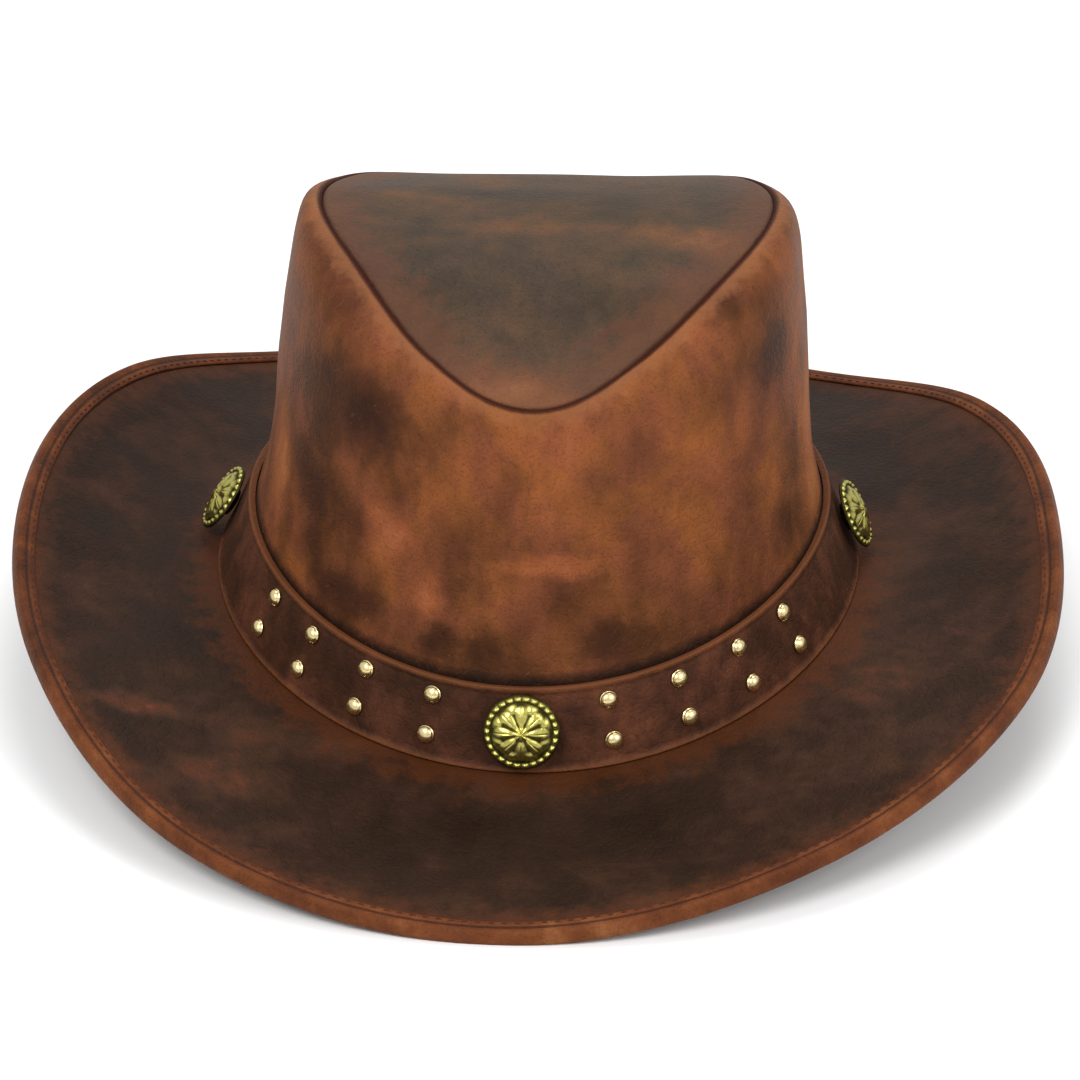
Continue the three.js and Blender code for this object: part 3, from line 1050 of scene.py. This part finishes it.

# %% [markdown]
# ## Rubbed edges and painted edge shade
# Edges lose their wax first. The meshes carry their distance from the nearest edge in millimetres,
# and this group turns it into a ragged border: 1 at the edge, 0 once the distance passes its width.
# The same border also paints shade: a near-black strip along a groove or against the band.
# It is handed one noise, in blots of 6 mm, which every rub of a finish shares.

# %% Group: rubbed edge and painted edge shade
def build_rub_and_shade():
    inputs = {"Distance": 5.0, "Width": 3.0, "Ragged": 0.5, "Blots": 0.5}
    tree, given, result = new_group("rubbed and shaded edge", inputs, ["Mask"])
    ragged = calculate(tree, "MULTIPLY", calculate(tree, "SUBTRACT", given["Blots"], 0.5), given["Ragged"])
    share = calculate(tree, "DIVIDE", given["Distance"], given["Width"])
    share = calculate(tree, "MULTIPLY_ADD", ragged, 4.0, share)
    tree.links.new(spread(tree, share, 0.25, 1.0, 1.0, 0.0), result["Mask"])
    return tree


rub_and_shade_group = build_rub_and_shade()
print("inputs:", [socket.name for socket in rub_and_shade_group.interface.items_tree])

# %% [markdown]
# ## A leather finish
# Every piece of leather gets the same recipe with its own amounts. The mottled tone and the placed
# patches, a few of them painted highlights, add up to one number, and a colour ramp turns that number
# into hide colours, from waxed dark to pulled light. Hide takes dye unevenly, so a slow noise makes
# some clouds rosier than others. Rubbed edges, painted shade along grooves and against the band,
# pores and scuffs go over it. The light parts are drier, so they are rougher.
# A little sheen is set on the shader itself: it lightens the leather where it turns away from you, as
# fine nap does.

# %% Leather recipe
PATCH_BEND = {"size": 0.012, "amount": 0.009}
DRIFT_SIZE = 0.018
BLOT_SIZE = 0.006
ROSE_TINT = (0.98, 0.92, 1.3, 1)
WAX_IN_PORES = (0.012, 0.008, 0.006, 1)
PORE_STRENGTH = 0.28
SCUFF_STRENGTH = 0.22
ROUGHNESS = (0.48, 0.62)
GRAIN_DEPTH = 0.00035


def sheet_colour(red, green, blue):
    """A colour as a painter reads it off a screen, 0 to 255, in the linear numbers that Blender uses."""
    linear = [((c / 255 + 0.055) / 1.055) ** 2.4 if c > 10 else c / 255 / 12.92 for c in (red, green, blue)]
    return (*linear, 1)


def leather(
    name, tones, sheen, contrast, patches=(), base=0.0, rubs_and_shades=(), sizes=None, scuffs=0.5, rosy=0.3,
):
    """tones are (place on the ramp, colour); rubs_and_shades are (attribute, width, ragged, strength,
    colour): a rubbed edge, or a strip of painted shade.
    """
    material, tree, shader = new_finish(name)
    mottled = use(tree, mottle_group, sizes or {})["Tone"]
    tone = calculate(tree, "MULTIPLY_ADD", mottled, contrast, 0.5 - contrast / 2 + base)
    bent = bent_place(tree, **PATCH_BEND)
    for row in patches:
        spot = {"Place": bent, "Centre": Vector((row["x"], row["y"], row["z"])) * MM}
        spot["Radius"] = Vector((row["wide"], row["deep"], row["tall"])) * MM
        tone = calculate(tree, "MULTIPLY_ADD", use(tree, patch_group, spot)["Mask"], row["lighter"], tone)
    ramp = add(tree, "ShaderNodeValToRGB", {"Fac": tone})
    while len(ramp.color_ramp.elements) < len(tones):
        ramp.color_ramp.elements.new(0.5)
    for element, (place, colour) in zip(ramp.color_ramp.elements, tones):
        element.position = place
        element.color = sheet_colour(*colour)
    drift = spread(tree, random_texture(tree, bent, DRIFT_SIZE, 2.0)[0], 0.42, 0.6)
    rosiness = calculate(tree, "MULTIPLY", drift, rosy)
    colour = mix(tree, rosiness, ramp.outputs["Color"], ROSE_TINT, "MULTIPLY")
    grain = use(tree, grain_group, {})
    colour = mix(tree, calculate(tree, "MULTIPLY", grain["Pores"], PORE_STRENGTH), colour, WAX_IN_PORES)
    blots = random_texture(tree, object_place(tree), BLOT_SIZE, 3.0, 0.65)[0]
    # Some of these are worn edges; the near-black ones are painted shade along a groove or against the
    # band.
    for attribute, width, ragged, strength, rubbed in rubs_and_shades:
        distance = add(tree, "ShaderNodeAttribute", {}, attribute_name=attribute).outputs["Fac"]
        border = {"Distance": distance, "Width": width, "Ragged": ragged, "Blots": blots}
        mask = use(tree, rub_and_shade_group, border)["Mask"]
        colour = mix(tree, calculate(tree, "MULTIPLY", mask, strength), colour, sheet_colour(*rubbed))
    streaks = use(tree, scuff_group, {"Amount": scuffs})["Mask"]
    lightest = sheet_colour(*tones[-1][1])
    colour = mix(tree, calculate(tree, "MULTIPLY", streaks, SCUFF_STRENGTH), colour, lightest)
    roughness = spread(tree, tone, 0.0, 1.0, *ROUGHNESS)
    height = {"Strength": 0.55, "Distance": GRAIN_DEPTH, "Height": grain["Height"]}
    fill(tree, shader, {
        "Base Color": colour,
        "Roughness": calculate(tree, "MULTIPLY_ADD", grain["Pores"], 0.08, roughness),
        "Normal": add(tree, "ShaderNodeBump", height).outputs["Normal"],
        "Sheen Weight": sheen,
        "Sheen Roughness": 0.4,
        "Sheen Tint": sheet_colour(215, 175, 140),
        "Specular IOR Level": 0.08,
    })
    return material


print("a leather finish can now be made")

# %% [markdown]
# ## The crown's leather
# The wall is the warmest part: rust brown where it was pulled, nearly black where the wax gathered,
# left of the front and low over the band. Right above the band and along the seam's groove it is also
# painted nearly black as shade. Just below the seam the leather is stretched over its own fold and is
# painted lightest there: partly the pulled leather, partly a painted highlight where the roll catches
# the light. Two narrow light streaks down the crown's left and right sides are painted highlights.

# %% Finish: crown wall
WALL_TONES = [
    (0.0, (50, 26, 12)),
    (0.25, (72, 40, 19)),
    (0.5, (105, 60, 31)),
    (0.75, (133, 76, 38)),
    (1.0, (153, 94, 52)),
]
WALL_PATCHES_AND_SIDE_HIGHLIGHTS = table(
    "x y z wide deep tall lighter",
    (-55, -58, 105, 24, 20, 18, -0.58),
    (-41, -71, 100, 14, 11, 20, -0.36),
    (-61, -58, 74, 13, 16, 26, -0.24),
    (-52, -76, 46, 22, 16, 9, -0.35),
    (2, -99, 40, 60, 20, 11, -0.18),
    (30, -92, 46, 18, 10, 8, -0.26),
    (-10, -98, 44, 10, 8, 8, -0.15),
    (69, -44, 114, 9, 14, 24, -0.27),
    (76, -42, 56, 7, 12, 12, -0.15),
    (2, -86, 96, 22, 12, 22, 0.15),
    (-40, -79, 70, 8, 8, 10, 0.34),
    (-28, -90, 56, 5, 6, 7, 0.24),
    (-25, -93, 44, 7, 6, 6, -0.22),
    (10, -91, 68, 20, 8, 4, 0.28),
    (48, -72, 84, 24, 20, 34, 0.2),
    (-64, -30, 130, 16, 20, 9, 0.2),
    # These two tall narrow light streaks, on the crown's left and right sides, are painted highlights.
    (-75, -34, 66, 6, 14, 34, 0.45),
    (82, -14, 70, 8, 20, 36, 0.6),
    (14, -93, 56, 20, 8, 10, -0.26),
    (-64, -61, 55, 8, 10, 8, -0.2),
    (56, -45, 135, 12, 16, 12, -0.22),
    (-19, -85, 88, 14, 8, 18, 0.26),
    (70, -47, 76, 10, 14, 14, 0.22),
)
finish_wall = leather(
    "rust leather", WALL_TONES, sheen=0.06, contrast=0.45, patches=WALL_PATCHES_AND_SIDE_HIGHLIGHTS, rosy=0.8,
    rubs_and_shades=[
        # Lighter within 7 mm of the seam: partly pulled leather, partly a painted highlight on the roll.
        ("to_edge", 7, 0.4, 0.5, (138, 88, 54)),
        # Nearly black within 1.5 mm of the seam: painted shade in the seam's groove.
        ("to_edge", 1.5, 0.1, 0.9, (46, 18, 8)),
        # Near black just above the band: painted shadow where the wall meets the band.
        ("to_band", 3.2, 0.15, 0.9, (24, 13, 8)),
    ],
)
wall.data.materials.append(finish_wall)
print(len(WALL_PATCHES_AND_SIDE_HIGHLIGHTS), "patches on the wall")

# %% [markdown]
# The top panel is the same hide, darker with more wax on it, and its tones are greyer as a painted
# reflection of the white sky on its upward face, apart from rusty clouds across the middle and at the
# front point, where fingers hold the hat.

# %% Finish: crown top
# The grey in these tones is a painted reflection of the white sky on the top's upward face.
TOP_TONES_WITH_SKY_REFLECTION = [
    (0.0, (43, 34, 26)),
    (0.35, (60, 49, 38)),
    (0.6, (77, 59, 43)),
    (0.8, (97, 66, 43)),
    (1.0, (120, 79, 51)),
]
TOP_PATCHES = table(
    "x y z wide deep tall lighter",
    (8, -51, 131, 28, 16, 14, -0.14),
    (1, -78, 116, 24, 10, 12, 0.4),
    (41, -22, 139, 26, 12, 12, 0.42),
    (0, -18, 137, 30, 6, 12, 0.15),
    (-13, 14, 135, 30, 8, 12, -0.3),
    (-42, 12, 136, 14, 7, 12, 0.15),
    (50, 10, 137, 12, 8, 12, -0.1),
)
finish_top = leather(
    "dark top leather", TOP_TONES_WITH_SKY_REFLECTION, sheen=0.04, contrast=0.45, patches=TOP_PATCHES,
    rubs_and_shades=[
        ("to_edge", 18, 0.5, 0.4, (98, 56, 38)),
        # Nearly black within 1.5 mm of the seam: painted shade in the seam's groove.
        ("to_edge", 1.5, 0.1, 0.9, (44, 18, 8)),
    ],
)
top_panel.data.materials.append(finish_top)
print(len(TOP_PATCHES), "patches on the top")

# %% [markdown]
# ## The brim's leather
# The brim holds the most wax and is the darkest piece. It turns lighter and rusty in a band beside
# the crown, where it is bent up: partly rust, partly a painted highlight on the fold. It also turns
# rusty towards its bound edge.

# %% Finish: brim
BRIM_TONES = [
    (0.0, (28, 16, 7)),
    (0.4, (43, 26, 15)),
    (0.65, (59, 37, 24)),
    (0.85, (80, 45, 28)),
    (1.0, (108, 63, 37)),
]
BRIM_PATCHES = table(
    "x y z wide deep tall lighter",
    (-112, -94, 20, 22, 6, 10, 0.55),
    (-58, -100, 13, 24, 10, 10, 0.2),
    (-81, -121, 12, 18, 12, 8, 0.3),
    (70, -112, 12, 26, 12, 12, 0.15),
    (104, -68, 20, 14, 24, 12, 0.2),
    (107, 96, 19, 22, 12, 12, 0.15),
    (5, -134, 7, 50, 18, 12, -0.34),
    (-100, -77, 19, 16, 16, 10, 0.2),
    (-66, -126, 10, 18, 10, 8, 0.15),
    (125, -61, 24, 14, 20, 12, 0.2),
    (137, -16, 30, 10, 22, 12, 0.14),
    (-122, 35, 27, 16, 24, 12, -0.15),
)
finish_brim = leather(
    "brim leather", BRIM_TONES, sheen=0.03, contrast=0.6, patches=BRIM_PATCHES, base=-0.08,
    rubs_and_shades=[
        ("to_edge", 14, 0.35, 0.55, (84, 45, 25)),
        # Lighter rust beside the crown: partly rust, partly a painted highlight on the brim's fold.
        ("to_band", 16, 0.45, 0.6, (78, 38, 14)),
    ],
    sizes={"Cloud Size": 0.034}, scuffs=0.45,
)
brim.data.materials.append(finish_brim)
print(len(BRIM_PATCHES), "patches on the brim")

# %% [markdown]
# The binding is a redder strip. Its crease is another rub, in nearly black: painted shade in the
# crease.

# %% Finish: binding
BINDING_TONES = [
    (0.0, (58, 28, 14)),
    (0.4, (88, 46, 22)),
    (0.7, (106, 58, 29)),
    (1.0, (128, 79, 44)),
]
BINDING_PATCHES = table(
    "x y z wide deep tall lighter",
    (7, -176, 5, 60, 20, 12, 0.25),
    (-146, -63, 36, 20, 50, 20, -0.25),
)
finish_binding = leather(
    "binding leather", BINDING_TONES, sheen=0.06, contrast=0.6, patches=BINDING_PATCHES,
    # The near-black rub along the crease is painted shade in the crease.
    rubs_and_shades=[("to_crease", 0.8, 0.15, 0.75, (38, 20, 14))],
    sizes={"Cloud Size": 0.014, "Smudge Size": 0.004}, scuffs=0.6,
)
binding.data.materials.append(finish_binding)
print(len(BINDING_PATCHES), "patches on the binding")

# %% [markdown]
# ## The band's leather
# A maroon brown strap, darker than the wall, with its two pressed ridges rubbed orange brown.

# %% Finish: band
BAND_TONES = [
    (0.0, (38, 22, 14)),
    (0.45, (62, 36, 23)),
    (0.75, (84, 49, 31)),
    (1.0, (110, 66, 40)),
]
finish_band = leather(
    "band leather", BAND_TONES, sheen=0.03, contrast=0.7,
    rubs_and_shades=[("to_edge", 1.9, 0.2, 0.7, (112, 66, 38))],
    sizes={"Cloud Size": 0.018, "Smudge Size": 0.005}, scuffs=0.4,
)
band.data.materials.append(finish_band)
print("the band's finish has", len(finish_band.node_tree.nodes), "nodes")

# %% [markdown]
# ## Welt and thread
# Both are thin, dull and dark, the welt dark as painted shade of the seam's groove, and at this size
# only a fine slant shows on them, as of twisted strands.
# A wave texture draws it, for the colour and for the bump, which costs far less than a real twist.

# %% Finish: welt and thread
def thread_finish(name, colour):
    """Dark thread or cord, a shade lighter along its slanting strands."""
    material, tree, shader = new_finish(name)
    sockets = {"Vector": object_place(tree), "Scale": 900.0, "Distortion": 2.0}
    twist = add(tree, "ShaderNodeTexWave", sockets, bands_direction="DIAGONAL").outputs["Fac"]
    height = {"Strength": 0.5, "Distance": 0.0002, "Height": twist}
    fill(tree, shader, {
        "Base Color": mix(tree, twist, sheet_colour(*colour), sheet_colour(*(c * 1.5 for c in colour))),
        "Roughness": 0.75,
        "Normal": add(tree, "ShaderNodeBump", height).outputs["Normal"],
        "Specular IOR Level": 0.1,
    })
    return material


# The welt's near-black is painted shade in the seam's groove.
shade_welt.data.materials.append(thread_finish("shade_welt", (44, 16, 6)))
finish_thread = thread_finish("waxed thread", (58, 32, 22))
for thread in threads:
    thread.data.materials.append(finish_thread)
print("welt and", len(threads), "rings of thread done")

# %% [markdown]
# ## Brass
# Cast brass is plated or stained dark and then rubbed, so the crests are bright and the hollows keep
# the stain. The disc's mesh carries the height of its relief, which says what is a hollow. The studs
# are the same metal, paler and cleaner.

# %% Finish: brass
def brass(name, bright, stain, polish, relief_attribute=None):
    material, tree, shader = new_finish(name)
    place = object_place(tree)
    blots = random_texture(tree, place, 0.0022, 4.0, 0.6)[0]
    if relief_attribute:
        height = add(tree, "ShaderNodeAttribute", {}, attribute_name=relief_attribute).outputs["Fac"]
        rubbed = spread(tree, calculate(tree, "MULTIPLY_ADD", blots, 0.3, height), 0.12, 0.62)
    else:
        rubbed = spread(tree, blots, 0.3, 0.5)
    pits = random_texture(tree, place, 0.0006, 3.0, 0.6)[0]
    height = {"Strength": 0.35, "Distance": 0.0001, "Height": pits}
    fill(tree, shader, {
        "Base Color": mix(tree, rubbed, sheet_colour(*stain), sheet_colour(*bright)),
        "Roughness": spread(tree, rubbed, 0.0, 1.0, 0.6, polish),
        "Normal": add(tree, "ShaderNodeBump", height).outputs["Normal"],
        "Metallic": 1,
    })
    return material


concho_mesh.materials.append(brass("antique brass", (200, 191, 104), (54, 47, 22), 0.28, "relief"))
stud_mesh.materials.append(brass("pale brass", (246, 224, 164), (196, 160, 92), 0.26))
print("brass done")

# %% [markdown]
# ## The set
# A plain pale floor and soft light from big lamps, as in a product studio. The Standard view shows
# colours just as they were painted, which suits a matt brown object on white.

# %% Floor and lights
FLOOR_WIDTH = 8


def build_floor():
    mesh = bpy.data.meshes.new("floor")
    half = FLOOR_WIDTH / 2
    corners = [(-half, -half, 0), (half, -half, 0), (half, half, 0), (-half, half, 0)]
    mesh.from_pydata(corners, [], [(0, 1, 2, 3)])
    floor = bpy.data.objects.new("floor", mesh)
    bpy.context.scene.collection.objects.link(floor)
    paint, tree, shader = new_finish("pale floor")
    fill(tree, shader, {"Base Color": (0.9, 0.9, 0.9, 1)})
    mesh.materials.append(paint)
    return floor


def lamp(name, place, size, power):
    data = bpy.data.lights.new(name, "AREA")
    data.shape = "DISK"
    data.size = size
    data.energy = power
    light = bpy.data.objects.new(name, data)
    light.location = place
    light.rotation_mode = "QUATERNION"
    light.rotation_quaternion = (-Vector(place)).to_track_quat("-Z", "Y")
    bpy.context.scene.collection.objects.link(light)
    return light


build_floor()
lamp("key", (-0.5, -1.0, 1.3), 0.8, 15)
lamp("fill", (1.0, -0.7, 0.9), 0.8, 7)
lamp("top", (0.1, 0.6, 1.4), 0.9, 9)
world = bpy.data.worlds.new("studio")
bpy.context.scene.world = world
world.use_nodes = True
fill(world.node_tree, world.node_tree.nodes["Background"], {"Color": (1, 1, 1, 1), "Strength": 0.7})
bpy.context.scene.view_settings.view_transform = "Standard"
print("floor, 3 lamps and a white sky")
